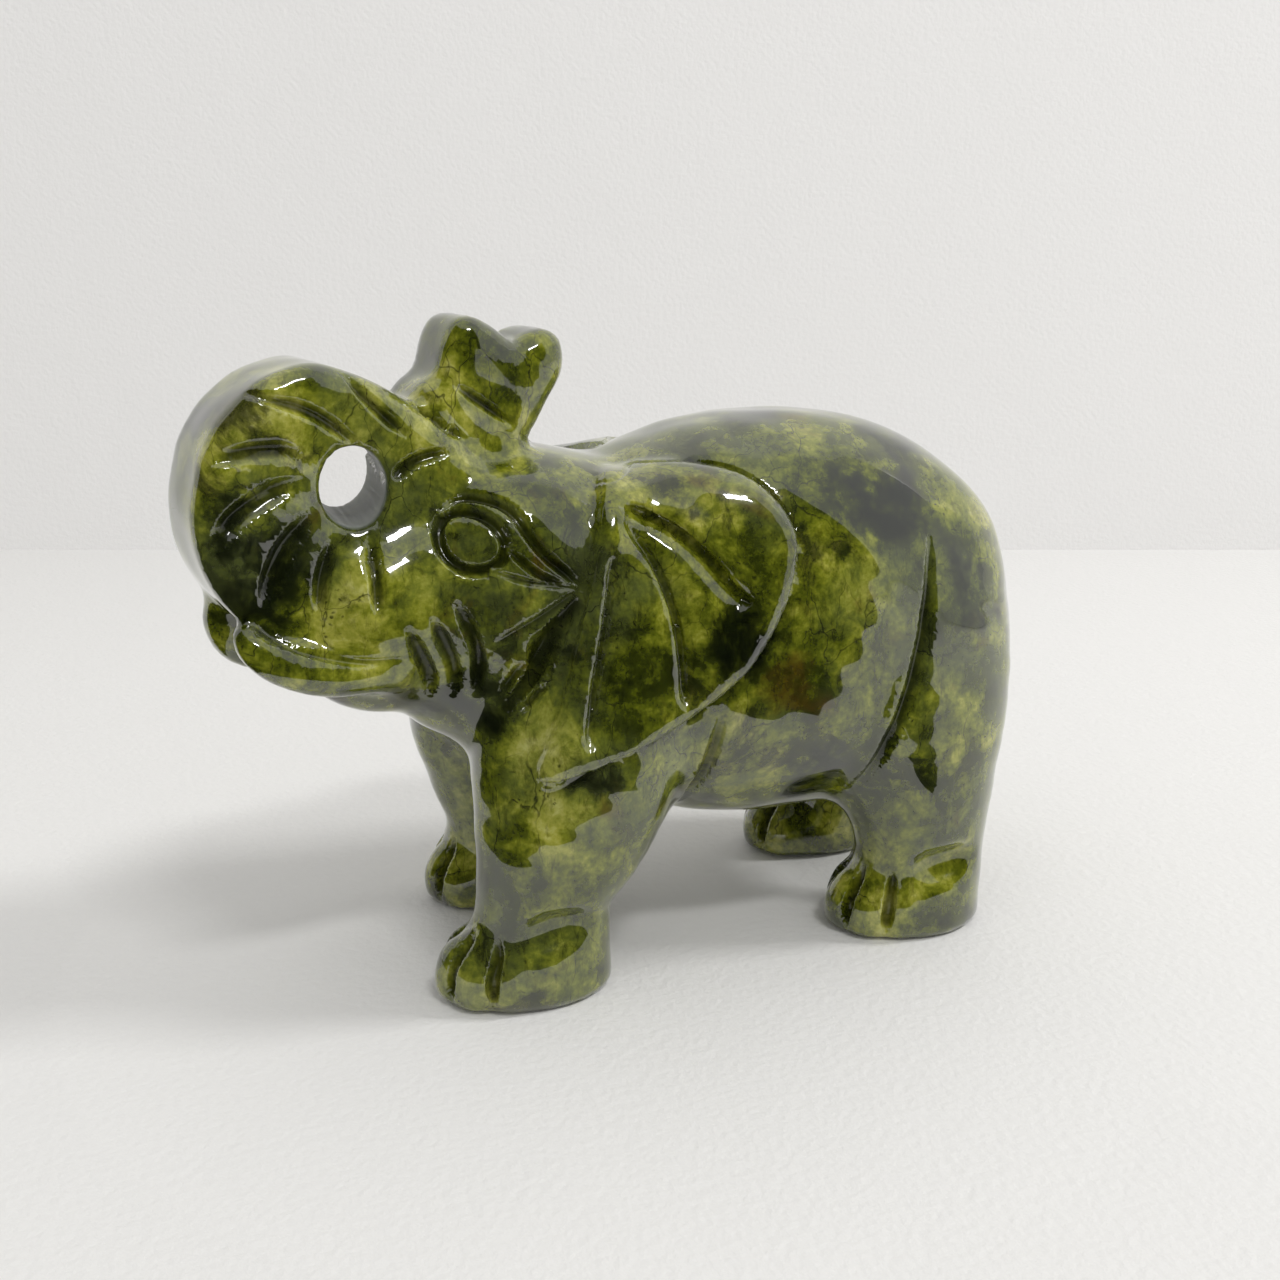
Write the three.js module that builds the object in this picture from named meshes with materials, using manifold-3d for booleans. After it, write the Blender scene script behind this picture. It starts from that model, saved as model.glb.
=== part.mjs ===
// A small elephant carved from one block of green jade, standing on four flat soles.
// The trunk curls up and back into a closed loop, and its tip rests on the forehead.
// Millimetres, +Z up. The elephant faces -X and its left side is at -Y. The origin is
// under the middle of the whole piece, on the plane of the soles.

import * as THREE from 'three';
import { ParametricGeometry } from 'three/addons/geometries/ParametricGeometry.js';
import { mergeVertices } from 'three/addons/utils/BufferGeometryUtils.js';
import Module from 'manifold-3d';

const wasm = await Module();
wasm.setup();

// Driving dimensions of the whole carving.
const LENGTH = 100;
const BACK_HEIGHT = 63.5;
const BELLY_HEIGHT = 14.5;
const BODY_HALF_WIDTH = 20.5;
const BODY_MIDDLE = 19;

// The head, with its trunk, tusks and ears, is turned towards the elephant's left.
const HEAD_TURN = THREE.MathUtils.degToRad(11);
const HEAD_PIVOT_X = -5;

// The loop of the trunk and the hole drilled through it.
const TRUNK_THICKNESS = 14;
const TRUNK_SQUARENESS = 5;
const HOLE_X = -32.0;
const HOLE_Z = 59;
const HOLE_HALF_WIDTH = 3.6;
const HOLE_HALF_HEIGHT = 4.2;

// Legs: where each sole stands, measured to its middle.
const SOLE_SIDE = 12.8;
const SOLE_HALF_WIDTH = 6.6;
const LEG_TOP = 34;
const FRONT_THIGH = { x: -6.5, radius: 13 };
const HIND_THIGH = { x: 33, radius: 14 };
const FRONT_SOLES = { left: -16.6, right: -13.6 };
const HIND_SOLES = { left: 32.6, right: 32.6 };

// Relief of the ears.
const EAR_THICKNESS = 6;
const EAR_SIDE = 19.6;
const LEFT_EAR = { shift: 0, splay: THREE.MathUtils.degToRad(2) };
const RIGHT_EAR = { shift: -3.5, splay: THREE.MathUtils.degToRad(7) };
const EAR_SQUARENESS = 4;

// A closed geometry becomes a solid once its shared corners are merged and the
// triangles that a pole squeezes to nothing are dropped.
function solid(geometry) {
  geometry.deleteAttribute('normal');
  geometry.deleteAttribute('uv');
  const merged = mergeVertices(geometry, 1e-4);
  const corners = merged.index.array;
  const kept = [];
  for (let i = 0; i < corners.length; i += 3) {
    const [a, b, c] = [corners[i], corners[i + 1], corners[i + 2]];
    if (a !== b && b !== c && c !== a) {
      kept.push(a, b, c);
    }
  }
  const mesh = new wasm.Mesh({
    numProp: 3,
    vertProperties: new Float32Array(merged.attributes.position.array),
    triVerts: new Uint32Array(kept),
  });
  mesh.merge();
  return new wasm.Manifold(mesh);
}

// A rounded lump: a sphere stretched to three radii, tipped about the Y axis.
function lump([x, y, z], [rx, ry, rz], tip = 0, around = 20, along = 12) {
  const geometry = new THREE.SphereGeometry(1, around, along);
  geometry.rotateX(Math.PI / 2);
  geometry.scale(rx, ry, rz);
  geometry.rotateY(tip);
  geometry.translate(x, y, z);
  return solid(geometry);
}

// A smooth body through stations [x, y, z, first radius, second radius]. The rings lie
// across the spine, which stays in an X-Z plane; the ends close in a rounded cap.
function limb(stations, around = 14, along = 14) {
  const spine = new THREE.CatmullRomCurve3(stations.map(([x, y, z]) => new THREE.Vector3(x, y, z)));
  const radii = new THREE.CatmullRomCurve3(stations.map((s) => new THREE.Vector3(s[3], s[4], 0)));
  const capShare = 0.16;
  const point = new THREE.Vector3();
  const place = (u, v, target) => {
    const angle = 2 * Math.PI * u;
    const fromEnd = Math.min(v, 1 - v);
    const closing = Math.min(1, fromEnd / capShare);
    const cap = Math.sqrt(Math.max(0, 1 - (1 - closing) ** 2));
    spine.getPoint(v, point);
    const tangent = spine.getTangent(v);
    const size = radii.getPoint(v);
    const across = new THREE.Vector3(tangent.z, 0, -tangent.x).normalize();
    target.copy(point);
    target.addScaledVector(across, size.x * cap * Math.cos(angle));
    target.y += size.y * cap * Math.sin(angle);
  };
  return outward(solid(new ParametricGeometry(place, around, along)), place, around, along);
}

// A loft whose rings run the other way round comes out inside out, so it is built again
// with its angle reversed.
function outward(body, place, around, along) {
  if (body.volume() > 0) {
    return body;
  }
  const reversed = (u, v, target) => place(1 - u, v, target);
  return solid(new ParametricGeometry(reversed, around, along));
}

// A slab of stone with rounded edges, cut to a smooth outline in the X-Z plane. The
// corner power sets how square its section is: 2 is an ellipse, higher is flatter.
function slab(outline, [middleX, middleZ], thickness, cornerPower, around) {
  const rim = new THREE.CatmullRomCurve3(
    outline.map(([x, z]) => new THREE.Vector3(x, 0, z)), true, 'centripetal');
  const middle = new THREE.Vector3(middleX, 0, middleZ);
  const power = 2 / cornerPower;
  const place = (u, v, target) => {
    const angle = Math.PI * (v - 0.5);
    const reach = Math.abs(Math.cos(angle)) ** power;
    const height = Math.sign(v - 0.5) * Math.abs(Math.sin(angle)) ** power;
    target.copy(middle).lerp(rim.getPoint(u % 1), reach < 1e-4 ? 0 : reach);
    target.y = height * thickness / 2;
  };
  const along = 10;
  return outward(solid(new ParametricGeometry(place, around, along)), place, around, along);
}

// The barrel of the body, from the shoulders to the round rump.
function barrel() {
  const middleHeight = (BACK_HEIGHT + BELLY_HEIGHT) / 2;
  const halfHeight = (BACK_HEIGHT - BELLY_HEIGHT) / 2;
  const halfLength = LENGTH / 2 - BODY_MIDDLE;
  const main = lump([BODY_MIDDLE, 0, middleHeight], [halfLength, BODY_HALF_WIDTH, halfHeight], 0, 28, 18);
  const rump = lump([BODY_MIDDLE + 14, 0, 35.5], [17, 18, 20.5], 0.2, 22, 14);
  const shoulders = lump([-4, 0, 42], [18, 17.5, 18.5], 0.35);
  const neck = lump([-9, 0, 46], [14, 16.5, 14.5], 0.15);
  const chest = lump([-9, 0, 30], [13, 14.5, 10], 0.2);
  return [main, rump, shoulders, neck, chest];
}

// One leg: a thick thigh, a narrower ankle and a foot that is longer towards the toes.
function leg(soleX, side, thigh, ankleShift) {
  const y = side * SOLE_SIDE;
  const column = limb([
    [thigh.x, side * 7, LEG_TOP + 12, thigh.radius - 4, 6],
    [thigh.x, side * 10.2, LEG_TOP - 4, thigh.radius, 9.6],
    [(thigh.x + soleX) / 2 + 1, side * 12, 21, 10, 7.8],
    [soleX + ankleShift, y, 13, 8, 6.9],
    [soleX + 1.5, y, 5, 8.4, 6.6],
    [soleX + 0.6, y, -6, 9.6, SOLE_HALF_WIDTH],
  ], 14, 13);
  const foot = lump([soleX, y, 3.4], [10, SOLE_HALF_WIDTH + 0.4, 5.6], 0.08, 16, 10);
  return [column, foot];
}

// The skull and cheeks, with the lower lip under them.
function skull() {
  return [
    lump([-16, 0, 48.5], [14, 15.5, 12.8], 0.1),
    lump([-27.5, 0, 46], [12.5, 12.5, 10.5], -0.25),
    lump([-28, 0, 38.5], [9.8, 8, 5.6], 0.2, 16, 10),
  ];
}

// The trunk: a thick flat-sided loop, and the tip that flares into two lobes.
function trunk() {
  const outline = [
    [-44.6, 45.4], [-48.6, 51], [-49.7, 58.4], [-47.4, 65.8], [-43, 69.8], [-37.6, 71.3],
    [-32.6, 70.1], [-26.5, 67.4], [-19.5, 65], [-15, 60], [-17.5, 53], [-24, 46], [-34, 41.8],
  ];
  return [
    slab(outline, [-32, 57], TRUNK_THICKNESS, TRUNK_SQUARENESS, 32),
    limb([[-25, 0, 62, 4, 4.5], [-20, 0, 66, 5, 5.2], [-17, 0, 70, 5.6, 5.2], [-15, 0, 74, 5, 4]], 12, 9),
    lump([-20.7, 0, 71.3], [3.6, 5, 3.4], 0, 12, 8),
    lump([-10.6, 0, 70.4], [3.1, 4.8, 3.1], 0, 12, 8),
  ];
}

// A short tusk lies along each side of the mouth.
function tusk(side) {
  return limb([
    [-30, side * 9, 41, 3.2, 3],
    [-38, side * 10, 41, 2.9, 2.7],
    [-43.5, side * 10.2, 43.3, 2.7, 2.5],
    [-46, side * 9.8, 46.4, 2, 2],
  ], 10, 10);
}

// A broad ear, pointed at its lower front, lies back over the shoulder. Its splay is the
// angle that its rear edge stands out from the body.
function ear(side, { shift, splay }) {
  const outline = [
    [-7.5, 58.5], [-1.4, 60.5], [4.5, 60.4], [9.3, 57.5], [11.6, 51.8], [9.6, 43.5], [5.2, 37],
    [-1.8, 32.6], [-9.5, 29.2], [-15.8, 28], [-12.2, 35.6], [-9, 47.2],
  ];
  const turn = side * THREE.MathUtils.radToDeg(splay);
  return slab(outline, [0, 47], EAR_THICKNESS, EAR_SQUARENESS, 24)
    .rotate([0, 0, turn])
    .translate([shift, side * EAR_SIDE, 0]);
}

// Every lump, limb and slab is one stone, so all of them join in one solid.
function carving() {
  const turned = [...skull(), ...trunk(), tusk(-1), tusk(1)];
  const head = turned
    .reduce((whole, piece) => whole.add(piece))
    .translate([-HEAD_PIVOT_X, 0, 0])
    .rotate([0, 0, THREE.MathUtils.radToDeg(HEAD_TURN)])
    .translate([HEAD_PIVOT_X, 0, 0]);
  const hole = new THREE.CylinderGeometry(1, 1, 60, 24);
  hole.scale(HOLE_HALF_WIDTH, 1, HOLE_HALF_HEIGHT);
  hole.translate(HOLE_X, 0, HOLE_Z);
  const drilledHead = head.subtract(solid(hole));
  const legs = [
    ...leg(FRONT_SOLES.left, -1, FRONT_THIGH, 3),
    ...leg(FRONT_SOLES.right, 1, FRONT_THIGH, 3),
    ...leg(HIND_SOLES.left, -1, HIND_THIGH, 2.4),
    ...leg(HIND_SOLES.right, 1, HIND_THIGH, 2.4),
  ];
  const ears = [ear(-1, LEFT_EAR), ear(1, RIGHT_EAR)];
  const body = [...barrel(), ...ears, ...legs].reduce((whole, piece) => whole.add(piece));
  const ground = new THREE.BoxGeometry(2 * LENGTH, LENGTH, 40);
  ground.translate(0, 0, -20);
  return body.add(drilledHead).subtract(solid(ground));
}

// The origin lies under the middle of the whole piece.
function centred(body) {
  const { min, max } = body.boundingBox();
  return body.translate([-(min[0] + max[0]) / 2, -(min[1] + max[1]) / 2, 0]);
}

// The finished solid as a three.js mesh.
function meshOf(name, body, material) {
  const { vertProperties, triVerts } = body.getMesh();
  const geometry = new THREE.BufferGeometry();
  geometry.setAttribute('position', new THREE.BufferAttribute(vertProperties, 3));
  geometry.setIndex(new THREE.BufferAttribute(triVerts, 1));
  geometry.computeVertexNormals();
  const mesh = new THREE.Mesh(geometry, material);
  mesh.name = name;
  return mesh;
}

const polishedJade = new THREE.MeshStandardMaterial({ color: 0x6f7f35, roughness: 0.15, metalness: 0 });

const elephant = new THREE.Group();
elephant.add(meshOf('carved_elephant', centred(carving()), polishedJade));

export default elephant;
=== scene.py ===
"""A small elephant carved from one block of green jade, trunk curled up in a loop.

The script follows the carver's order: the block is roughed and rounded, the skin of the
stone is laid on that form, the fine cuts are engraved, and the whole piece is polished.
Lengths are millimetres where the stone is shaped, and metres once it is a mesh.
"""
import math

import bpy
import numpy as np
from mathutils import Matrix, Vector
from mathutils.kdtree import KDTree


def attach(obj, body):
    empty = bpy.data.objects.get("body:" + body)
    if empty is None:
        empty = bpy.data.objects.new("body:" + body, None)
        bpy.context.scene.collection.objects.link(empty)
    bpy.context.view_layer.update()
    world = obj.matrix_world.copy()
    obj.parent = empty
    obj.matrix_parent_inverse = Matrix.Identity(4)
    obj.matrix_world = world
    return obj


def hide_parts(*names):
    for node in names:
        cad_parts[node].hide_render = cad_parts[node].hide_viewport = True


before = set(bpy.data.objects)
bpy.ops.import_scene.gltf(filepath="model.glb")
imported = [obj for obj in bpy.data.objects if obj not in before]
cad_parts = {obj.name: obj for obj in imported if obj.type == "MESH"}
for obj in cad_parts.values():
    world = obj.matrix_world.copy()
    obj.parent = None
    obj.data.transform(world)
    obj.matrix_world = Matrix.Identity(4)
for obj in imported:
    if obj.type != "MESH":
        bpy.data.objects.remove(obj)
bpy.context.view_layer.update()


# ---------------------------------------------------------------------------------------
# The table, the light and the camera. The carving stands on a plain white plaster top in
# soft daylight: one broad window on the right, pale walls round it, and a dim room in front that only the polish
# shows, as a painted dark reflection.
# ---------------------------------------------------------------------------------------
def linear(hex_colour):
    shares = [int(hex_colour[i:i + 2], 16) / 255 for i in (1, 3, 5)]
    return [s / 12.92 if s <= 0.04045 else ((s + 0.055) / 1.055) ** 2.4 for s in shares] + [1.0]


def add_node(tree, kind, settings=None, **links):
    """Adds a node; each link names an input and gives a value or another node's output."""
    node = tree.nodes.new(kind)
    for name, value in (settings or {}).items():
        setattr(node, name, value)
    for name, value in links.items():
        key = int(name[1:]) if name[1:].isdigit() else name.replace("_", " ")
        if isinstance(value, bpy.types.NodeSocket):
            tree.links.new(value, node.inputs[key])
        else:
            node.inputs[key].default_value = value
    return node


def new_material(name):
    material = bpy.data.materials.new(name)
    material.use_nodes = True
    material.node_tree.nodes.clear()
    return material, material.node_tree


TABLE_SIZE = 6.0
TABLE_COLOUR = "#e4e3e1"
WALL_COLOUR = "#f3f2f1"


def matt_plaster(name, colour):
    material, tree = new_material(name)
    place = add_node(tree, "ShaderNodeTexCoord").outputs["Object"]
    trowel = add_node(tree, "ShaderNodeTexNoise", Vector=place, Scale=28.0, Detail=6.0)
    grain = add_node(tree, "ShaderNodeTexNoise", Vector=place, Scale=900.0, Detail=3.0)
    both = add_node(tree, "ShaderNodeMath", {"operation": "MULTIPLY_ADD"},
                    _0=trowel.outputs["Fac"], _1=3.0, _2=grain.outputs["Fac"])
    bump = add_node(tree, "ShaderNodeBump", Strength=0.25, Distance=0.0006,
                    Height=both.outputs["Value"])
    surface = add_node(tree, "ShaderNodeBsdfPrincipled", Base_Color=linear(colour),
                       Roughness=0.75, Normal=bump.outputs["Normal"])
    surface.inputs["Specular IOR Level"].default_value = 0.2
    add_node(tree, "ShaderNodeOutputMaterial", Surface=surface.outputs["BSDF"])
    return material


bpy.ops.mesh.primitive_plane_add(size=TABLE_SIZE, location=(0, 0, 0))
table = bpy.context.object
table.name = "table_top"
table.data.materials.append(matt_plaster("white_plaster_table", TABLE_COLOUR))

world = bpy.data.worlds.new("pale_room")
bpy.context.scene.world = world
world.use_nodes = True
world.node_tree.nodes["Background"].inputs["Color"].default_value = linear("#f1f1f0")
world.node_tree.nodes["Background"].inputs["Strength"].default_value = 0.74
bpy.context.scene.view_settings.view_transform = "Standard"


def towards(azimuth, elevation, distance, target):
    a, e = math.radians(azimuth), math.radians(elevation)
    way = Vector((math.sin(a) * math.cos(e), -math.cos(a) * math.cos(e), math.sin(e)))
    return Vector(target) + way * distance


def aim(thing, target):
    thing.rotation_euler = (Vector(target) - thing.location).to_track_quat("-Z", "Y").to_euler()


MIDDLE = (0.0, 0.0, 0.036)


def soft_light(name, azimuth, elevation, distance, width, height, power, colour="#ffffff"):
    lamp = bpy.data.lights.new(name, "AREA")
    lamp.shape = "RECTANGLE"
    lamp.size = width
    lamp.size_y = height
    lamp.energy = power
    lamp.color = linear(colour)[:3]
    light = bpy.data.objects.new(name, lamp)
    light.location = towards(azimuth, elevation, distance, MIDDLE)
    aim(light, MIDDLE)
    bpy.context.scene.collection.objects.link(light)
    return light


soft_light("window", 74, 40, 1.6, 0.28, 0.28, 9.5).visible_glossy = False
soft_light("lamp_by_the_camera", 8, 56, 0.9, 0.22, 0.07, 1.9)


# Painted dark reflection: a dark sheet that only the polish shows, standing for the unlit side of the room in front.
# It lies just above the pale table from close in front of the carving outwards, then rises as a part of a dome.
DARK_AZIMUTHS = (-112, 36)
DARK_SHEET_INNER_RADIUS = 0.067
DARK_HEIGHTS = (0.001, 58)
DARK_DISTANCE = 1.6


def dark_side_of_room():
    columns, rows = 24, 10
    azimuths = np.linspace(*DARK_AZIMUTHS, columns + 1)
    elevations = np.linspace(*DARK_HEIGHTS, rows + 1)
    points = []
    for a in azimuths:
        points.append(towards(a, 0, DARK_SHEET_INNER_RADIUS, (0, 0, 0.0006)))
        points += [towards(a, e, DARK_DISTANCE, (0, 0, 0.0006)) for e in elevations]
    high = rows + 2
    faces = [(c * high + r, c * high + r + 1, (c + 1) * high + r + 1, (c + 1) * high + r)
             for c in range(columns) for r in range(high - 1)]
    mesh = bpy.data.meshes.new("dark_side_of_room")
    mesh.from_pydata(points, [], faces)
    black, tree = new_material("unlit_room")
    surface = add_node(tree, "ShaderNodeBsdfDiffuse", Color=linear("#121310"))
    add_node(tree, "ShaderNodeOutputMaterial", Surface=surface.outputs["BSDF"])
    mesh.materials.append(black)
    side = bpy.data.objects.new("dark_side_of_room", mesh)
    bpy.context.scene.collection.objects.link(side)
    side.visible_camera = False
    side.visible_shadow = False
    side.visible_diffuse = False
    side.visible_transmission = False


dark_side_of_room()

# The plaster wall behind, square to the camera.
WALL_DISTANCE = 0.204
bpy.ops.mesh.primitive_plane_add(size=2.0, location=towards(160, 0, WALL_DISTANCE, (0, 0, 0)))
wall = bpy.context.object
wall.name = "plaster_wall"
aim(wall, (0, 0, 0))
wall.data.materials.append(matt_plaster("white_plaster_wall", WALL_COLOUR))

CAMERA_TARGET = (0.0027, 0.0001, 0.0362)
camera_data = bpy.data.cameras.new("camera")
camera_data.lens = 39.4
camera_data.sensor_width = 36.0
camera_data.clip_start = 0.01
camera = bpy.data.objects.new("camera", camera_data)
camera.location = towards(-20, 16.8, 0.168, CAMERA_TARGET)
aim(camera, CAMERA_TARGET)
bpy.context.scene.collection.objects.link(camera)
bpy.context.scene.camera = camera


# ---------------------------------------------------------------------------------------
# Shaping rules. The carver starts from one sawn block and rounds it with diamond wheels.
# Every mass below is a distance in millimetres from its surface, negative inside, so
# masses melt into each other as ground stone does, and cuts have softly polished edges.
# ---------------------------------------------------------------------------------------
HEAD_TURN = math.radians(11)
HEAD_PIVOT_X = -5.0


def join(a, b, blend):
    share = np.clip(0.5 + 0.5 * (b - a) / blend, 0, 1)
    return b + (a - b) * share - blend * share * (1 - share)


def cut(a, b, blend):
    return -join(-a, b, blend)


def lump(p, centre, radii, tip=0.0, square=2.0):
    q = p - np.array(centre)
    c, s = math.cos(math.radians(tip)), math.sin(math.radians(tip))
    q = np.stack([c * q[:, 0] - s * q[:, 2], q[:, 1], s * q[:, 0] + c * q[:, 2]], 1)
    reach = (np.abs(q / np.array(radii)) ** square).sum(1) ** (1 / square) + 1e-9
    slope = ((np.abs(q) / np.array(radii) ** 2) ** square).sum(1) ** (1 / square) + 1e-9
    return reach * (reach - 1) / slope


def smooth_path(points, steps, closed=False):
    pts = np.array(points, float)
    count = len(pts)
    spans = count if closed else count - 1
    made = []
    for i in range(spans):
        if closed:
            a, b, c, d = (pts[(i + k) % count] for k in (-1, 0, 1, 2))
        else:
            a, b, c, d = (pts[min(max(i + k, 0), count - 1)] for k in (-1, 0, 1, 2))
        for t in np.linspace(0, 1, steps, endpoint=False):
            made.append(0.5 * (2 * b + (c - a) * t + (2 * a - 5 * b + 4 * c - d) * t * t
                               + (3 * b - a - 3 * c + d) * t ** 3))
    if not closed:
        made.append(pts[-1])
    return np.array(made)


def limb(p, stations, steps=5):
    path = smooth_path(stations, steps)
    best = np.full(len(p), 1e3)
    for a, b in zip(path[:-1], path[1:]):
        run = b[:3] - a[:3]
        t = np.clip(((p - a[:3]) @ run) / (run @ run), 0, 1)
        off = p - a[:3] - t[:, None] * run
        radius = a[3] + t * (b[3] - a[3])
        side = a[4] + t * (b[4] - a[4])
        away = np.sqrt(off[:, 0] ** 2 + off[:, 2] ** 2 + (off[:, 1] * radius / side) ** 2)
        best = np.minimum(best, away - radius)
    return best


def outline_distance(x, z, outline):
    best = np.full(len(x), 1e6)
    inside = np.zeros(len(x), bool)
    for a, b in zip(outline, np.roll(outline, -1, axis=0)):
        run = b - a
        t = np.clip(((x - a[0]) * run[0] + (z - a[1]) * run[1]) / (run @ run), 0, 1)
        best = np.minimum(best, (x - a[0] - t * run[0]) ** 2 + (z - a[1] - t * run[1]) ** 2)
        if a[1] != b[1]:
            crosses = (a[1] > z) != (b[1] > z)
            inside ^= crosses & (x < run[0] * (z - a[1]) / run[1] + a[0])
    return np.where(inside, -np.sqrt(best), np.sqrt(best))


def slab(p, outline, half, edge):
    flat = outline_distance(p[:, 0], p[:, 2], outline) + edge
    deep = np.abs(p[:, 1]) - half + edge
    outside = np.sqrt(np.maximum(flat, 0) ** 2 + np.maximum(deep, 0) ** 2)
    return outside + np.minimum(np.maximum(flat, deep), 0) - edge


def turned(p):
    c, s = math.cos(HEAD_TURN), math.sin(HEAD_TURN)
    x = p[:, 0] - HEAD_PIVOT_X
    return np.stack([c * x + s * p[:, 1] + HEAD_PIVOT_X, c * p[:, 1] - s * x, p[:, 2]], 1)


# Body.
def barrel(p):
    d = lump(p, (18.2, 0, 38.7), (29.7, 20.2, 24.4), square=2.3)
    d = join(d, lump(p, (32.5, 0, 35), (15.6, 17.5, 20.2), 8), 5)
    d = join(d, lump(p, (-2, 0, 40.6), (17, 17.2, 17.6)), 4)
    d = join(d, lump(p, (-9, 0, 44.4), (13, 16, 12.6)), 4)
    return join(d, lump(p, (-9, 0, 31), (13, 14, 10)), 6)


TOES = (-40, -2, 38, 78)
TOE_CUTS = (-21, 18, 58)


def leg(p, side, path, foot):
    d = limb(p, [(x, side * y, z, r, w) for x, y, z, r, w in path])
    fx, fy = foot
    d = join(d, lump(p, (fx, side * fy, 2.6), (8.6, 6.2, 6.4)), 2.4)
    for angle in TOES:
        a = math.radians(angle)
        toe = (fx - 5.9 * math.cos(a), side * (fy + 3.8 * math.sin(a)), 2.6)
        d = join(d, lump(p, toe, (3.0, 2.9, 4.7)), 0.7)
    hollow = lump(p, (fx + 2.5, side * (fy + 7.4), 9.6), (5.2, 2.4, 2.6), -10)
    return cut(d, hollow, 1.5)


FRONT_FEET = ((-17.0, -12.2), (-13.2, 12.4))
HIND_FEET = ((32.2, -12.2), (31.9, 12.4))


def legs(p):
    near_front = [(-6.5, 8.5, 42, 11, 7), (-8.0, 11, 30, 12.6, 9), (-10.2, 12.2, 21, 10.6, 8.2),
                  (-13.1, 12.6, 13, 7.9, 6.9), (-13.6, 12.6, 7, 7.9, 6.5), (-13.9, 12.6, -3, 8.6, 6.3)]
    far_front = [(-6.5, 8.5, 42, 11, 7), (-10.6, 10.5, 30, 12.8, 8.6), (-10.8, 11.6, 21, 11, 8),
                 (-11.7, 12.4, 13, 7.6, 6.8), (-11.8, 12.6, 7, 7.2, 6.5), (-12, 12.6, -3, 7.7, 6.3)]
    hind = [(34, 8, 44, 11, 7), (34.2, 10.6, 31, 12.3, 9.0), (34.6, 12, 21, 10.3, 8.1),
            (35.2, 12.6, 13, 8.5, 7.0), (35.2, 12.6, 7, 8.3, 6.7), (35.2, 12.6, -3, 8.4, 6.5)]
    (nfx, nfy), (ffx, ffy) = FRONT_FEET
    (nhx, nhy), (fhx, fhy) = HIND_FEET
    d = leg(p, -1, near_front, (nfx, -nfy))
    d = join(d, leg(p, 1, far_front, (ffx, ffy)), 1.0)
    d = join(d, leg(p, -1, hind, (nhx, -nhy)), 1.0)
    return join(d, leg(p, 1, hind, (fhx, fhy)), 1.0)


def tail(p):
    return limb(p, [(41.8, 1.0, 50, 2.2, 2.2), (45.2, 2.6, 41, 1.9, 2.0),
                    (45.2, 5.8, 32, 1.7, 1.8), (43.8, 8.4, 25.5, 2.4, 2.4), (42.8, 9.0, 21, 1.5, 1.5)])


# Head, in its own turned frame.
HOLE = (-31.7, 58.8)
LOOP = [(-45.2, 46.2), (-48.4, 51), (-49.3, 57.6), (-47.1, 64.8), (-42.6, 69.4), (-37.2, 71.3),
        (-32.6, 70.3), (-28, 68), (-23, 64), (-18, 57), (-20, 48), (-29, 41.5), (-38.5, 42.4)]
TIP = [(-25.6, 66.8), (-23, 69.4), (-22, 72.2), (-20.8, 74.4), (-18.9, 75), (-16.6, 74),
       (-14, 72.2), (-12.4, 73), (-10.4, 73.4), (-8.5, 72.2), (-8.2, 69), (-10.5, 65), (-13.4, 61),
       (-18, 56), (-26, 60)]
LOOP_OUTLINE = smooth_path(LOOP, 7, closed=True)
TIP_OUTLINE = smooth_path(TIP, 4, closed=True)


def trunk(p):
    x, z = p[:, 0] + 34.9, p[:, 2] - 59.2
    dish = 1.5 * np.exp(-(x * x + z * z) / 60)
    d = slab(p, LOOP_OUTLINE, 7.2, 2.9) + dish
    return join(d, slab(p, TIP_OUTLINE, 5.2, 2.6), 1.6)


def skull(p):
    d = lump(p, (-14, 0, 47.8), (14.6, 15.3, 13.2), square=2.3)
    d = join(d, lump(p, (-28.6, 0, 46.3), (13, 11.4, 9.6), -10), 4)
    d = join(d, lump(p, (-18, 0, 38.5), (11.5, 12, 10.6)), 4)
    return join(d, lump(p, (-29, 0, 38.3), (9.2, 7.4, 5.4), 8), 1.6)


def tusks(p):
    near = [(-45.6, -6.8, 45.2, 1.2, 1.5), (-44.7, -7.2, 43.9, 1.7, 2.2), (-42.6, -7.5, 42.4, 2.2, 2.5),
            (-39.6, -7.6, 41.1, 2.5, 2.6), (-36, -7.5, 40.3, 2.5, 2.6), (-31, -7.2, 39.9, 2.3, 2.4)]
    far = [(-44.6, 5.6, 46.2, 1.4, 1.6), (-44.1, 6.6, 43.4, 2.3, 2.6), (-42.2, 7.2, 41.2, 2.9, 2.8),
           (-39.2, 7.6, 39.8, 2.9, 2.8), (-36, 7.6, 39.3, 2.6, 2.7), (-31, 7.2, 39.2, 2.3, 2.4)]
    return np.minimum(limb(p, near), limb(p, far))


def head(p):
    q = turned(p)
    d = join(skull(q), trunk(q), 2.2)
    return join(d, tusks(q), 2.2)


# Ears, in relief on neck and shoulder.
EAR = [(-6, 57.6), (-1.5, 58.8), (4, 59.3), (9.6, 58.2), (13.1, 54.6), (13.7, 50.2), (11.2, 43.2),
       (6.6, 36.6), (0, 32), (-8, 29.8), (-15.6, 28.2), (-12.6, 36), (-9.2, 47.4)]
EAR_OUTLINE = smooth_path(EAR, 4, closed=True)
EAR_RELIEF = 2.2
FAR_EAR_ROOT = (-13.0, 11.5, 56.6)


FOLDS = [  # each fold's crest from the ear's root outwards, its depth and its reach
    ([(-4.4, 55.9), (0.5, 53.8), (3.9, 50.8), (6.5, 47.4), (8.2, 45.6)], 1.9, -1.9),
    ([(-5.0, 54.2), (-2.5, 50.4), (-0.8, 45.4), (0.0, 40.4), (0.4, 34.4)], 1.6, 2.2),
    ([(-6.9, 51.5), (-7.5, 47.4), (-8.5, 42.4), (-9.9, 36.6), (-10.9, 31.4)], 1.5, 2.8)]


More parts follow.
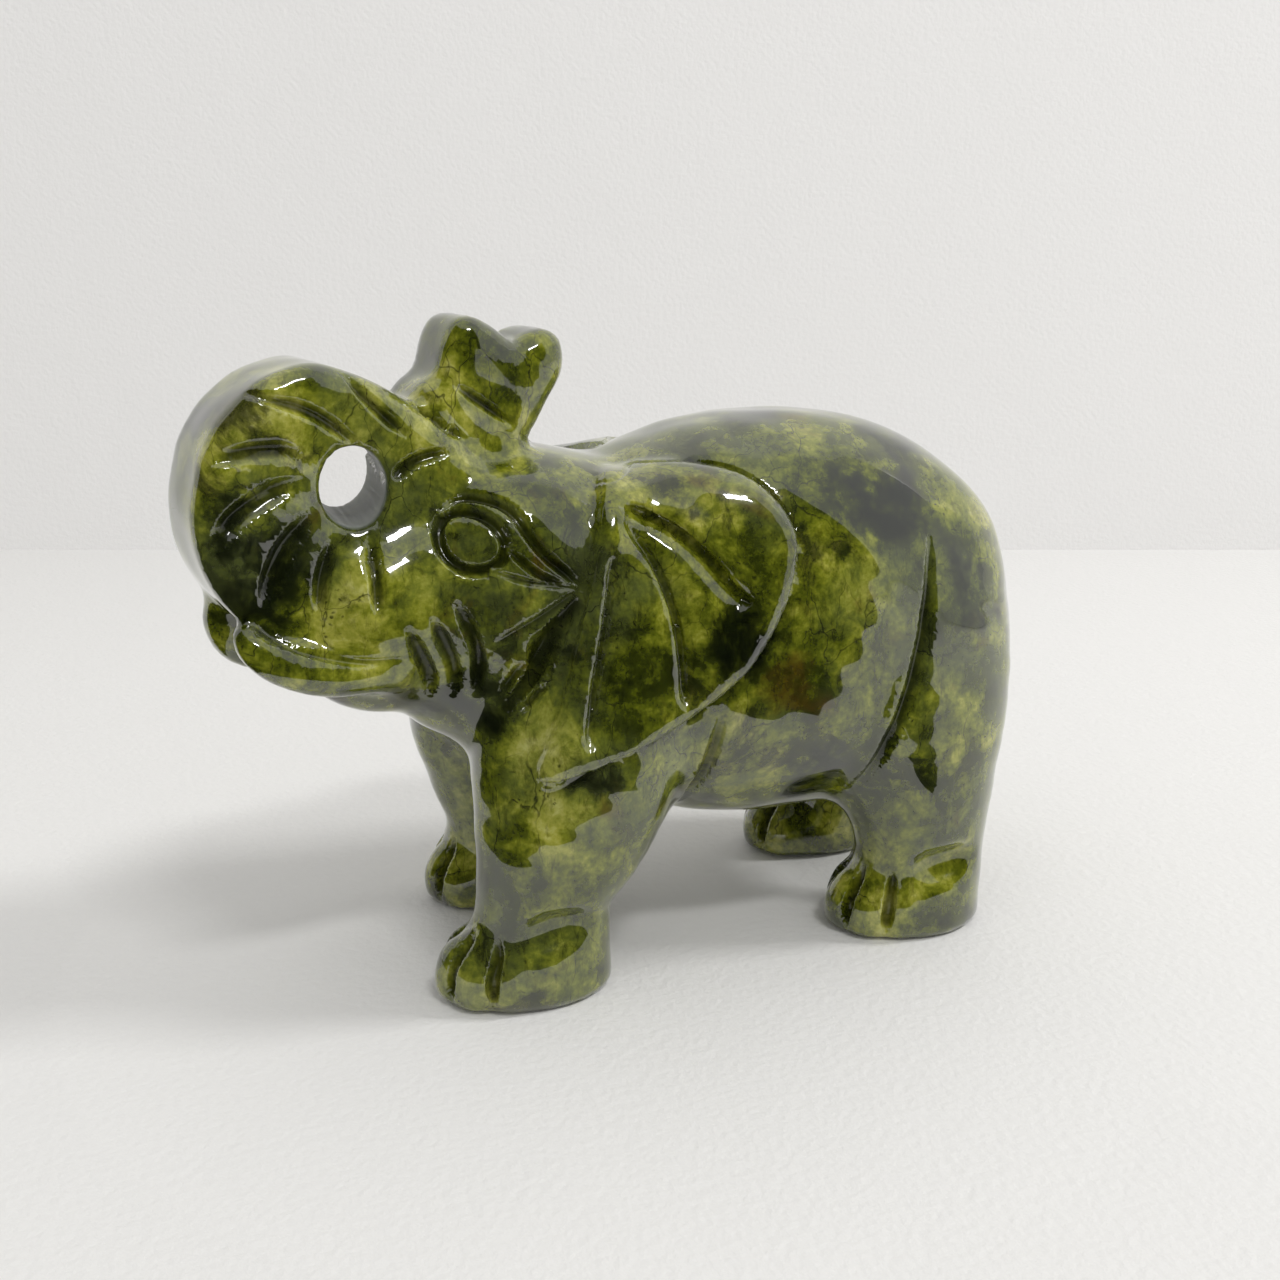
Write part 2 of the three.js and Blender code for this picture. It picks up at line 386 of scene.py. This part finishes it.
def beside(x, z, path):
    """Distance from a path, positive on its right, and how far along it, from 0 to 1."""
    best = np.full(len(x), 1e6)
    signed = np.zeros(len(x))
    along = np.zeros(len(x))
    for i, (a, b) in enumerate(zip(path[:-1], path[1:])):
        run = b - a
        t = ((x - a[0]) * run[0] + (z - a[1]) * run[1]) / (run @ run)
        t = np.clip(t, 0, 1)
        dx, dz = x - a[0] - t * run[0], z - a[1] - t * run[1]
        far = np.hypot(dx, dz)
        nearer = far < best
        best = np.where(nearer, far, best)
        signed = np.where(nearer, np.sign(dz * run[0] - dx * run[1]) * far, signed)
        along = np.where(nearer, (i + t) / (len(path) - 1), along)
    return signed, along


def folds(x, z):
    depth = np.zeros(len(x))
    for points, deep, reach in FOLDS:
        signed, along = beside(x, z, smooth_path(points, 6))
        away = signed * np.sign(reach)
        fade = np.clip(along / 0.16, 0, 1) * np.clip((1 - along) / 0.10, 0, 1)
        step = np.clip(0.5 + away / 1.1, 0, 1)
        depth = np.maximum(depth, deep * fade * step * np.exp(-np.maximum(away, 0) / abs(reach)))
    return depth


def ear(p, d, side, shift):
    near = (side * p[:, 1] > 6) & (np.abs(p[:, 0] - shift) < 20) & (p[:, 2] > 20)
    q = p[near]
    edge = outline_distance(q[:, 0] - shift, q[:, 2], EAR_OUTLINE)
    bevel = 0.8 * np.clip(1 + edge / 1.7, 0, 1) ** 1.5
    raised = cut(d[near] - EAR_RELIEF + bevel + folds(q[:, 0] - shift, q[:, 2]), -edge, 0.5)
    made = d.copy()
    made[near] = join(d[near], raised, 0.25)
    return made


def hand_polish(p):
    """The slight waviness that a hand-held wheel leaves."""
    x, y, z = p.T
    return 0.028 * (np.sin(0.83 * x + 1.1 * z) + np.sin(0.71 * z - 0.64 * y + 2) + np.sin(0.95 * y + 0.5 * x + 4))


def stone(p):
    d = join(barrel(p), legs(p), 3.6)
    d = join(d, head(p), 2.6)
    d = ear(p, d, -1, 0.0)
    d = ear(p, d, 1, -3.5)
    d = join(d, lump(p, FAR_EAR_ROOT, (6, 4.2, 4.2), -12), 2.5)
    d = join(d, tail(p), 0.8) + hand_polish(p)
    bore = np.hypot((p[:, 0] - HOLE[0]) / 3.4, (p[:, 2] - HOLE[1]) / 4.15) - 1
    bore = np.maximum(bore * 3.7, p[:, 0] + 24)
    d = cut(d, bore, 0.7)
    return cut(d, p[:, 2], 1.6)
# ---------------------------------------------------------------------------------------
# The surface of the stone: one closed skin of small facets laid on the shape above.
# ---------------------------------------------------------------------------------------
def in_parts(shape, points, size=200000):
    return np.concatenate([shape(points[i:i + size]) for i in range(0, len(points), size)])


def sampled(shape, low, high, pitch, block=4):
    counts = [int(math.ceil((h - l) / (pitch * block))) * block for l, h in zip(low, high)]
    coarse_axes = [l + pitch * block * (np.arange(c // block) + 0.5) for l, c in zip(low, counts)]
    grid = np.stack(np.meshgrid(*coarse_axes, indexing="ij"), -1).reshape(-1, 3)
    coarse = in_parts(shape, grid).reshape([len(a) for a in coarse_axes])
    near = np.abs(coarse) < pitch * block * 1.6
    for axis in range(3):
        coarse = np.repeat(coarse, block, axis)
        near = np.repeat(near, block, axis)
    values = coarse.copy()
    cells = np.argwhere(near)
    places = np.array(low) + pitch * (cells + 0.5)
    values[tuple(cells.T)] = in_parts(shape, places)
    return values


def net(values, low, pitch):
    inside = values < 0
    shape = np.array(values.shape) - 1
    corner = [(i, j, k) for i in (0, 1) for j in (0, 1) for k in (0, 1)]
    view = lambda a, c: a[c[0]:c[0] + shape[0], c[1]:c[1] + shape[1], c[2]:c[2] + shape[2]]
    count = sum(view(inside, c).astype(np.int8) for c in corner)
    active = (count > 0) & (count < 8)
    number = np.full(active.shape, -1, np.int64)
    cells = np.argwhere(active)
    number[tuple(cells.T)] = np.arange(len(cells))
    total = np.zeros((len(cells), 3))
    crossings = np.zeros(len(cells))
    for a in corner:
        for axis in range(3):
            if a[axis]:
                continue
            b = list(a)
            b[axis] = 1
            va = values[tuple((cells + a).T)]
            vb = values[tuple((cells + b).T)]
            hit = (va < 0) != (vb < 0)
            t = np.where(hit, va / np.where(hit, va - vb, 1), 0)
            place = np.array(a, float) + t[:, None] * (np.array(b) - np.array(a))
            total += place * hit[:, None]
            crossings += hit
    verts = np.array(low) + pitch * (cells + total / crossings[:, None] + 0.5)
    quads = []
    for axis in range(3):
        u, v = (axis + 1) % 3, (axis + 2) % 3
        size = np.array(values.shape)
        size[axis] -= 1
        start = np.argwhere(inside[:size[0], :size[1], :size[2]]
                            != np.roll(inside, -1, axis)[:size[0], :size[1], :size[2]])
        start = start[(start[:, u] > 0) & (start[:, v] > 0)
                      & (start[:, u] < shape[u]) & (start[:, v] < shape[v])]
        step_u, step_v = np.eye(3, dtype=int)[u], np.eye(3, dtype=int)[v]
        ring = [number[tuple((start - s).T)] for s in (step_u + step_v, step_v, 0 * step_u, step_u)]
        ring = np.stack(ring, 1)
        flip = ~inside[tuple(start.T)]
        ring[flip] = ring[flip][:, ::-1]
        quads.append(ring)
    return verts, np.concatenate(quads)


def slope(shape, verts, reach=0.05):
    steps = reach * np.eye(3)
    return np.stack([in_parts(shape, verts + s) - in_parts(shape, verts - s) for s in steps], 1) / (2 * reach)


def settled(shape, verts, rounds=3):
    for _ in range(rounds):
        grade = slope(shape, verts)
        verts = verts - (in_parts(shape, verts) / (grade ** 2).sum(1).clip(0.05))[:, None] * grade
    return verts


LOW, HIGH = (-53, -26, -2), (54, 26, 78)
PITCH = 0.81
verts, quads = net(sampled(stone, LOW, HIGH, PITCH), LOW, PITCH)
verts = settled(stone, verts, 2)
tris = np.concatenate([quads[:, [0, 1, 2]], quads[:, [0, 2, 3]]])


# ---------------------------------------------------------------------------------------
# The fine cuts: wrinkles round the trunk's loop, eyelids, cheek folds and toes, each
# ground with the rim of a thin wheel. A cut is a line laid on the stone with a width and a
# depth, and the skin is sunk along it. Each is listed on the left side in X and Z.
# ---------------------------------------------------------------------------------------
HEAD_CUTS = [  # points, half width, depth
    ([(-43, 68.7), (-37.3, 66.6), (-32.7, 63.1)], 0.8, 0.6),
    ([(-33.5, 69.8), (-30.3, 66.1), (-27.7, 63.7)], 0.7, 0.6),
    ([(-47.4, 62.7), (-44, 63.3), (-40.2, 63.1), (-38.6, 62.2)], 1.1, 0.6),
    ([(-48.4, 54.3), (-45.5, 57.2), (-41.6, 59.2), (-38.9, 59.8)], 1.3, 0.7),
    ([(-43.6, 48.6), (-41.5, 53), (-38.8, 55.6), (-37.8, 56.4)], 1.2, 0.7),
    ([(-38.4, 46.7), (-37.7, 50.2), (-36, 53.6)], 0.9, 0.6),
    ([(-33.2, 46.6), (-32.8, 50.9), (-32.2, 53.8)], 0.9, 0.6),
    ([(-29.8, 58.8), (-27, 61), (-23.1, 61.8)], 0.8, 0.6),
    ([(-26.5, 66.6), (-22.6, 63.8)], 0.6, 0.5),
    ([(-24.8, 65.2), (-21, 62.8)], 0.6, 0.5),
    ([(-21.6, 68.2), (-15.3, 63.8)], 0.6, 0.5),
    ([(-44.6, 46.4), (-41.7, 44.2), (-38.4, 42.8), (-34.4, 41.7), (-31, 41.6)], 0.6, 0.35),
    ([(-24.9, 56.1), (-22.9, 57.2), (-20.5, 57.1), (-18.9, 56.1), (-18, 54.1), (-16.6, 51.8),
      (-14.4, 49.6), (-12.8, 47.8)], 0.75, 0.8),
    ([(-20.4, 52.6), (-18.7, 50.9), (-16.9, 49.3), (-14.6, 48.4)], 0.6, 0.7),
    ([(-22, 50.4), (-18.9, 49.1), (-15.6, 48.4), (-12.8, 47.8)], 0.5, 0.4),
    ([(-12.8, 47.8), (-16.6, 45.4), (-21.5, 42.6)], 0.6, 0.4),
    ([(-13, 47.2), (-15.9, 43.2), (-18.3, 38.6), (-20.2, 35.6)], 1.7, 1.2),
    ([(-19, 40), (-21, 36.6)], 0.6, 0.5),
    ([(-16.8, 38), (-19.6, 35)], 0.6, 0.5),
    ([(-30.3, 44.7), (-28.6, 41.4), (-27.3, 38.6), (-27.1, 36.4)], 0.9, 0.7),
    ([(-27.7, 45.4), (-26.3, 42.4), (-25.3, 39.4), (-25.2, 36.6)], 0.9, 0.8),
    ([(-25.3, 47), (-24.1, 44.1), (-23.1, 40.7), (-23.1, 36.8)], 0.9, 0.9)]
BODY_CUTS = [
    ([(31.4, 50), (30.8, 44.5), (29.8, 38.9), (28.1, 31.8), (26.2, 25.6), (24, 19.6)], 1.0, 0.55),
    ([(5.8, 33), (5.0, 26), (3.2, 20)], 0.9, 0.5)]
EAR_CUTS = [([(x + 0.4 * math.copysign(1, reach), z) for x, z in path], 0.6, 0.4)
            for path, deep, reach in FOLDS]
EYE = (-23.2, 53.2)
EYE_RADIUS = 2.9


def pressed(points, side, frame_of):
    """Lays X-Z points on the stone's surface, looking straight at its side."""
    flat = np.array(points)
    near, far = np.zeros(len(flat)), np.full(len(flat), 27.0)
    place = lambda y: frame_of(np.stack([flat[:, 0], side * y, flat[:, 1]], 1))
    for _ in range(12):
        step = (near + far) / 2
        out = stone(place(step)) > 0
        far = np.where(out, step, far)
        near = np.where(out, near, step)
    return place(near)


def unturned(p):
    c, s = math.cos(HEAD_TURN), math.sin(HEAD_TURN)
    x = p[:, 0] - HEAD_PIVOT_X
    return np.stack([c * x - s * p[:, 1] + HEAD_PIVOT_X, c * p[:, 1] + s * x, p[:, 2]], 1)


def circle(centre, radius, steps=60):
    turns = np.linspace(0, 2 * math.pi, steps + 1)
    return [(centre[0] + radius * math.cos(a), centre[1] + radius * math.sin(a)) for a in turns]


cut_points, cut_edges, cut_sizes = [], [], []


CUT_STEP = 0.3
STEADY_STROKES = 6


def evenly(path, step=CUT_STEP):
    """The same line with a point every step along it."""
    path = np.asarray(path, float)
    run = np.concatenate([[0], np.cumsum(np.linalg.norm(np.diff(path, axis=0), axis=1))])
    places = np.linspace(0, run[-1], max(2, int(run[-1] / step)))
    return np.stack([np.interp(places, run, path[:, k]) for k in range(path.shape[1])], 1)


def lay_cut(line, half_width, depth, taper=True):
    first = sum(len(c) for c in cut_points)
    for _ in range(STEADY_STROKES):
        line[1:-1] = (line[:-2] + line[1:-1] * 2 + line[2:]) / 4
    along = np.linspace(0, 1, len(line))
    ease = np.clip(np.minimum(along, 1 - along) / 0.25, 0.08, 1) ** 0.6 if taper else np.ones(len(line))
    cut_points.append(line)
    cut_edges.extend((first + i, first + i + 1) for i in range(len(line) - 1))
    cut_sizes.append(np.stack([half_width * (0.45 + 0.55 * ease), depth * ease], 1))


for side in (-1, 1):
    for points, half_width, depth in HEAD_CUTS:
        lay_cut(pressed(evenly(smooth_path(points, 10)), side, unturned), half_width, depth)
    for points, half_width, depth in BODY_CUTS:
        lay_cut(pressed(evenly(smooth_path(points, 10)), side, lambda p: p), half_width, depth)
    lay_cut(pressed(circle(EYE, EYE_RADIUS), side, unturned), 0.75, 0.9, taper=False)
    ear_shift = np.array([0.0 if side < 0 else -3.5, 0])
    for points, half_width, depth in EAR_CUTS:
        lay_cut(pressed(evenly(smooth_path(points, 10) + ear_shift), side, lambda p: p), half_width, depth)
    rim = smooth_path(EAR[:-2] + EAR[:1], 8)[:-8] + ear_shift
    lay_cut(pressed(evenly(rim), side, lambda p: p), 0.55, 0.35)

for fx, fy in FRONT_FEET + HIND_FEET:
    for angle in TOE_CUTS:
        a = math.radians(angle)
        out = np.array([-math.cos(a), math.sin(a) * np.sign(fy), 0])
        rough = [np.array([fx, fy, 0]) + out * r + np.array([0, 0, z])
                 for r, z in ((5.2, 8.6), (6.8, 7.4), (8.2, 5.6), (8.9, 3.4), (9.0, 1.2))]
        lay_cut(settled(stone, evenly(smooth_path(rough, 6)), 5), 0.8, 0.95)


def refined(verts, tris, chosen):
    """Splits each facet edge that the rule picks, so cuts get facets small enough to hold them."""
    pairs = np.sort(np.concatenate([tris[:, [0, 1]], tris[:, [1, 2]], tris[:, [2, 0]]]), 1)
    edges, back = np.unique(pairs, axis=0, return_inverse=True)
    halves = (verts[edges[:, 0]] + verts[edges[:, 1]]) / 2
    pick = chosen(halves)
    number = np.full(len(edges), -1)
    number[pick] = len(verts) + np.arange(pick.sum())
    mids = number[back.reshape(3, -1).T]
    split = (mids >= 0).sum(1)
    out = [tris[split == 0]]
    for turn in range(3):
        a, b, c = (tris[:, (turn + k) % 3] for k in range(3))
        ab, bc, ca = (mids[:, (turn + k) % 3] for k in range(3))
        one = (split == 1) & (ab >= 0)
        two = (split == 2) & (ca < 0)
        out += [np.stack(t, 1)[one] for t in ((a, ab, c), (ab, b, c))]
        out += [np.stack(t, 1)[two] for t in ((a, ab, c), (ab, bc, c), (ab, b, bc))]
    a, b, c = tris.T
    ab, bc, ca = mids.T
    out += [np.stack(t, 1)[split == 3] for t in ((a, ab, ca), (ab, b, bc), (ca, bc, c), (ab, bc, ca))]
    return np.concatenate([verts, settled(stone, halves[pick], 2)]), np.concatenate(out)


cut_points = np.concatenate(cut_points)
cut_sizes = np.concatenate(cut_sizes)
finder = KDTree(len(cut_points))
for i, point in enumerate(cut_points):
    finder.insert(point, i)
finder.balance()


def near_cut(points):
    found = [finder.find(p) for p in points]
    away = np.array([f[2] for f in found])
    return away < cut_sizes[[f[1] for f in found], 0] + margin


for margin in ((0.6, 0.12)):
    verts, tris = refined(verts, tris, near_cut)

shift = np.array([-0.1, 0.3, 0])  # brings the middle of the stone over the origin


def plain_mesh(name, points, edges, faces):
    mesh = bpy.data.meshes.new(name)
    mesh.from_pydata((points + shift) * 0.001, edges, faces)
    mesh.update()
    thing = bpy.data.objects.new(name, mesh)
    bpy.context.scene.collection.objects.link(thing)
    return thing


cuts = plain_mesh("cut_lines", cut_points, cut_edges, [])
for name, values in (("half_width", cut_sizes[:, 0]), ("depth", cut_sizes[:, 1])):
    layer = cuts.data.attributes.new(name, "FLOAT", "POINT")
    layer.data.foreach_set("value", values * 0.001)


def engraving_tree(material):
    tree = bpy.data.node_groups.new("engraving", "GeometryNodeTree")
    for name, kind in (("Stone", "Geometry"), ("Cut lines", "Object"), ("Depth", "Float"), ("Width", "Float")):
        tree.interface.new_socket(name, in_out="INPUT", socket_type="NodeSocket" + kind)
    tree.interface.new_socket("Stone", in_out="OUTPUT", socket_type="NodeSocketGeometry")
    given = add_node(tree, "NodeGroupInput").outputs
    lines = add_node(tree, "GeometryNodeObjectInfo", {"transform_space": "ORIGINAL"}, Object=given["Cut lines"])
    lines = lines.outputs["Geometry"]
    near = add_node(tree, "GeometryNodeProximity", {"target_element": "EDGES"}, _0=lines)
    index = add_node(tree, "GeometryNodeSampleNearest", {"domain": "POINT"}, _0=lines).outputs["Index"]

    def of_line(name):
        value = add_node(tree, "GeometryNodeInputNamedAttribute", {"data_type": "FLOAT"}, Name=name)
        return add_node(tree, "GeometryNodeSampleIndex", {"data_type": "FLOAT"},
                        Geometry=lines, Value=value.outputs["Attribute"], Index=index).outputs["Value"]

    def sums(operation, a, b):
        return add_node(tree, "ShaderNodeMath", {"operation": operation}, _0=a, _1=b).outputs["Value"]

    width = sums("MULTIPLY", of_line("half_width"), given["Width"])
    share = sums("MINIMUM", sums("DIVIDE", near.outputs["Distance"], width), 1.0)
    hollow = sums("SUBTRACT", 1.0, sums("POWER", share, 2.0))
    depth = of_line("depth")
    deep = sums("MULTIPLY", hollow, depth)
    # floor marks each cut's floor; the jade reads it as cut_floor for a painted shade in the cuts and a thinner coat
    # there.
    floor = sums("MULTIPLY", hollow, sums("MINIMUM", sums("DIVIDE", depth, 0.0006), 1.0))
    sink = sums("MULTIPLY", deep, sums("MULTIPLY", given["Depth"], -1.0))
    way = add_node(tree, "GeometryNodeInputNormal").outputs["Normal"]
    offset = add_node(tree, "ShaderNodeVectorMath", {"operation": "SCALE"}, _0=way, Scale=sink)
    marked = add_node(tree, "GeometryNodeStoreNamedAttribute", {"data_type": "FLOAT", "domain": "POINT"},
                      Geometry=given["Stone"], Name="cut_floor", Value=floor)
    moved = add_node(tree, "GeometryNodeSetPosition", Geometry=marked.outputs["Geometry"],
                     Offset=offset.outputs["Vector"])
    smooth = add_node(tree, "GeometryNodeSetShadeSmooth", Geometry=moved.outputs["Geometry"])
    whole = add_node(tree, "GeometryNodeRealizeInstances", Geometry=smooth.outputs[0])
    made = add_node(tree, "GeometryNodeSetMaterial", Geometry=whole.outputs["Geometry"], Material=material)
    add_node(tree, "NodeGroupOutput", Stone=made.outputs["Geometry"])
    return tree


# ---------------------------------------------------------------------------------------
# The polish.
# ---------------------------------------------------------------------------------------
DARK_CLOUDS = [  # places and radii in the stone
    (-41, -14, 51, 7), (-43, -12, 58, 4), (23, -17, 55, 5), (38, -17, 44, 5), (7, -21, 42, 5),
    (-21, -14, 36, 5), (-44, -7, 66, 4), (27, -16, 53, 6), (19, -17, 22, 6), (-9, -18, 27, 4),
    (30, 18, 48, 8), (-6, 20, 42, 6), (12, 20, 34, 7), (-38, 5, 55, 6), (36, 18, 20, 6), (-10, 18, 14, 5)]
BRIGHT_CLOUDS = [
    (-35, -15, 46, 6), (-23, -7, 68, 5), (1, -14, 57, 6), (15, -19, 50, 6), (34, -20, 28, 8), (8, -17, 26, 9),
    (-14, -20, 32, 5), (-13, -20, 22, 6), (20, 20, 44, 9), (2, 19, 56, 6), (-30, 8, 48, 7), (30, 19, 32, 7)]


def jade():
    material, tree = new_material("green_jade_wet_polish")
    place = add_node(tree, "ShaderNodeTexCoord").outputs["Object"]
    upright = add_node(tree, "ShaderNodeMapping", Vector=place, Scale=(1.0, 1.0, 0.42), Rotation=(0.1, 0.25, 0.0))
    upright = upright.outputs["Vector"]

    def noise(scale, detail=4.0, rough=0.55, warp=0.0, seed=0.0, along=place, out="Fac"):
        return add_node(tree, "ShaderNodeTexNoise", {"noise_dimensions": "4D"}, Vector=along, W=seed,
                        Scale=scale, Detail=detail, Roughness=rough, Distortion=warp).outputs[out]

    def ramp(value, stops):
        node = add_node(tree, "ShaderNodeValToRGB", Fac=value)
        element = node.color_ramp.elements
        while len(element) < len(stops):
            element.new(0.5)
        for e, (position, colour) in zip(element, stops):
            e.position = position
            e.color = linear(colour)
        return node.outputs["Color"]

    def mix(kind, fac, a, b):
        node = add_node(tree, "ShaderNodeMix", {"data_type": "RGBA", "blend_type": kind}, _0=fac, _6=a, _7=b)
        return node.outputs[2]

    def maths(kind, a, b):
        return add_node(tree, "ShaderNodeMath", {"operation": kind}, _0=a, _1=b).outputs["Value"]

    def between(value, low, high):
        node = add_node(tree, "ShaderNodeMapRange", {"interpolation_type": "SMOOTHSTEP"}, Value=value)
        node.inputs["From Min"].default_value = low
        node.inputs["From Max"].default_value = high
        return node.outputs["Result"]

    def swirled(along, scale, reach, seed):
        turn = add_node(tree, "ShaderNodeVectorMath", {"operation": "SUBTRACT"},
                        _0=noise(scale, 4, 0.6, 0.0, seed, out="Color"), _1=(0.5, 0.5, 0.5)).outputs["Vector"]
        turn = add_node(tree, "ShaderNodeVectorMath", {"operation": "SCALE"}, _0=turn, Scale=reach).outputs["Vector"]
        return add_node(tree, "ShaderNodeVectorMath", {"operation": "ADD"}, _0=along, _1=turn).outputs["Vector"]

    drifted = swirled(place, 110, 0.016, 31.0)

    def clouds(middles):
        total = None
        for x, y, z, radius in middles:
            centre = ((x + shift[0]) * 0.001, (y + shift[1]) * 0.001, z * 0.001)
            away = add_node(tree, "ShaderNodeVectorMath", {"operation": "DISTANCE"}, _0=drifted, _1=centre)
            here = between(away.outputs["Value"], radius * 0.0011, radius * 0.0004)
            total = here if total is None else maths("MAXIMUM", total, here)
        return total

    cloud = noise(85, 3, 0.5, 0.5, 1.0)
    mottle = noise(330, 5, 0.62, 0.5, 2.0)
    grain = noise(1500, 3, 0.6, 0.0, 3.0)
    tone = maths("ADD", maths("MULTIPLY", cloud, 0.45), maths("MULTIPLY", mottle, 0.40))
    tone = maths("ADD", tone, maths("MULTIPLY", grain, 0.15))
    tone = maths("ADD", tone, maths("MULTIPLY", clouds(BRIGHT_CLOUDS), 0.07))
    tone = maths("SUBTRACT", tone, maths("MULTIPLY", clouds(DARK_CLOUDS), 0.10))
    colour = ramp(tone, [(0.37, "#131803"), (0.445, "#2f3606"), (0.50, "#51580d"), (0.55, "#757a1c"),
                         (0.605, "#9a9a3c"), (0.68, "#bdbb6c")])
    grey = between(noise(46, 5, 0.55, 0.7, 7.0), 0.48, 0.66)
    colour = mix("MIX", maths("MULTIPLY", grey, 0.3), colour, linear("#6b7344"))
    rust = between(noise(95, 5, 0.6, 0.8, 9.0), 0.58, 0.70)
    colour = mix("MIX", maths("MULTIPLY", rust, 0.5), colour, linear("#5a430f"))
    black = between(noise(62, 8, 0.66, 1.0, 5.0), 0.545, 0.63)
    colour = mix("MIX", maths("MULTIPLY", black, 0.8), colour, linear("#10160a"))
    black = maths("MULTIPLY", clouds(DARK_CLOUDS), between(mottle, 0.62, 0.42))
    colour = mix("MIX", maths("MULTIPLY", black, 0.86), colour, linear("#0e1405"))
    felt = ramp(noise(700, 6, 0.75, 0.8, 11.0, upright), [(0.32, "#84857a"), (0.5, "#ffffff"), (0.72, "#ffffff")])
    colour = mix("MULTIPLY", 0.85, colour, felt)

    bent = swirled(upright, 90, 0.006, 13.0)
    for scale, width, seed in ((120, 0.011, 17.0), (260, 0.014, 19.0)):
        cells = add_node(tree, "ShaderNodeTexVoronoi", {"feature": "DISTANCE_TO_EDGE"}, Vector=bent, Scale=scale)
        crack = between(cells.outputs["Distance"], width, 0.0)
        crack = maths("MULTIPLY", crack, between(noise(90, 3, 0.6, 0.0, seed), 0.46, 0.58))
        colour = mix("MIX", maths("MULTIPLY", crack, 0.7), colour, linear("#11150a"))
    flecks = add_node(tree, "ShaderNodeTexVoronoi", Vector=drifted, Scale=1150)
    fleck = maths("MULTIPLY", between(flecks.outputs["Distance"], 0.34, 0.14),
                  between(noise(190, 4, 0.6, 0.0, 23.0), 0.52, 0.64))
    colour = mix("MIX", maths("MULTIPLY", fleck, 0.75), colour, linear("#0a0d04"))

    # Painted shade: the floor of each cut is darkened in its colour, standing for the shade in the cuts, and below
    # its coat is thinned, as the polishing felt can't reach it.
    cut_floor_shade_and_dull = add_node(tree, "ShaderNodeAttribute", {"attribute_name": "cut_floor"}).outputs["Fac"]
    cut_floor_shade_and_dull = between(cut_floor_shade_and_dull, 0.3, 0.92)
    colour = mix("MIX", maths("MULTIPLY", cut_floor_shade_and_dull, 0.68), colour, linear("#0b0f05"))

    # The drilled bore keeps its matt, ground wall.
    centre = ((HOLE[0] + shift[0]) * 0.001, 0, HOLE[1] * 0.001)
    off = add_node(tree, "ShaderNodeVectorMath", {"operation": "SUBTRACT"}, _0=place, _1=centre).outputs["Vector"]
    off = add_node(tree, "ShaderNodeVectorMath", {"operation": "MULTIPLY"}, _0=off, _1=(1 / 0.0034, 0, 1 / 0.00415))
    off = add_node(tree, "ShaderNodeVectorMath", {"operation": "LENGTH"}, _0=off.outputs["Vector"]).outputs["Value"]
    ground = between(off, 1.05, 0.98)
    colour = mix("MIX", maths("MULTIPLY", ground, 0.85), colour, linear("#7d817b"))
    roughness = maths("ADD", maths("MULTIPLY", ground, 0.35), 0.2)
    dull = maths("MAXIMUM", ground, maths("MULTIPLY", cut_floor_shade_and_dull, 0.75))

    pits = add_node(tree, "ShaderNodeBump", Strength=0.25, Distance=0.00004, Height=grain)
    surface = add_node(tree, "ShaderNodeBsdfPrincipled", Base_Color=colour, Normal=pits.outputs["Normal"],
                       Roughness=roughness, Coat_Weight=maths("SUBTRACT", 1.0, dull))
    for name, value in (("IOR", 1.66), ("Specular IOR Level", 0.1), ("Subsurface Weight", 0.1),
                        ("Subsurface Radius", (1.0, 1.2, 0.3)), ("Subsurface Scale", 0.0014),
                        ("Coat Roughness", 0.025), ("Coat IOR", 1.9)):
        surface.inputs[name].default_value = value
    add_node(tree, "ShaderNodeOutputMaterial", Surface=surface.outputs["BSDF"])
    return material


polished_jade = jade()
blank = plain_mesh("blank", verts, [], tris.tolist())
engraver = blank.modifiers.new("engraver", "NODES")
engraver.node_group = engraving_tree(polished_jade)
sockets = {s.name: s.identifier for s in engraver.node_group.interface.items_tree if s.in_out == "INPUT"}
engraver[sockets["Cut lines"]] = cuts
engraver[sockets["Depth"]] = 1.35
engraver[sockets["Width"]] = 1.05
settled_scene = bpy.context.evaluated_depsgraph_get()
skin = bpy.data.meshes.new_from_object(blank.evaluated_get(settled_scene))
skin.name = "carved_elephant_stone"
carving = bpy.data.objects.new("carved_elephant_stone", skin)
bpy.context.scene.collection.objects.link(carving)
for leftover in (blank, cuts):
    bpy.data.objects.remove(leftover)
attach(carving, "root")
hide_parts("carved_elephant")
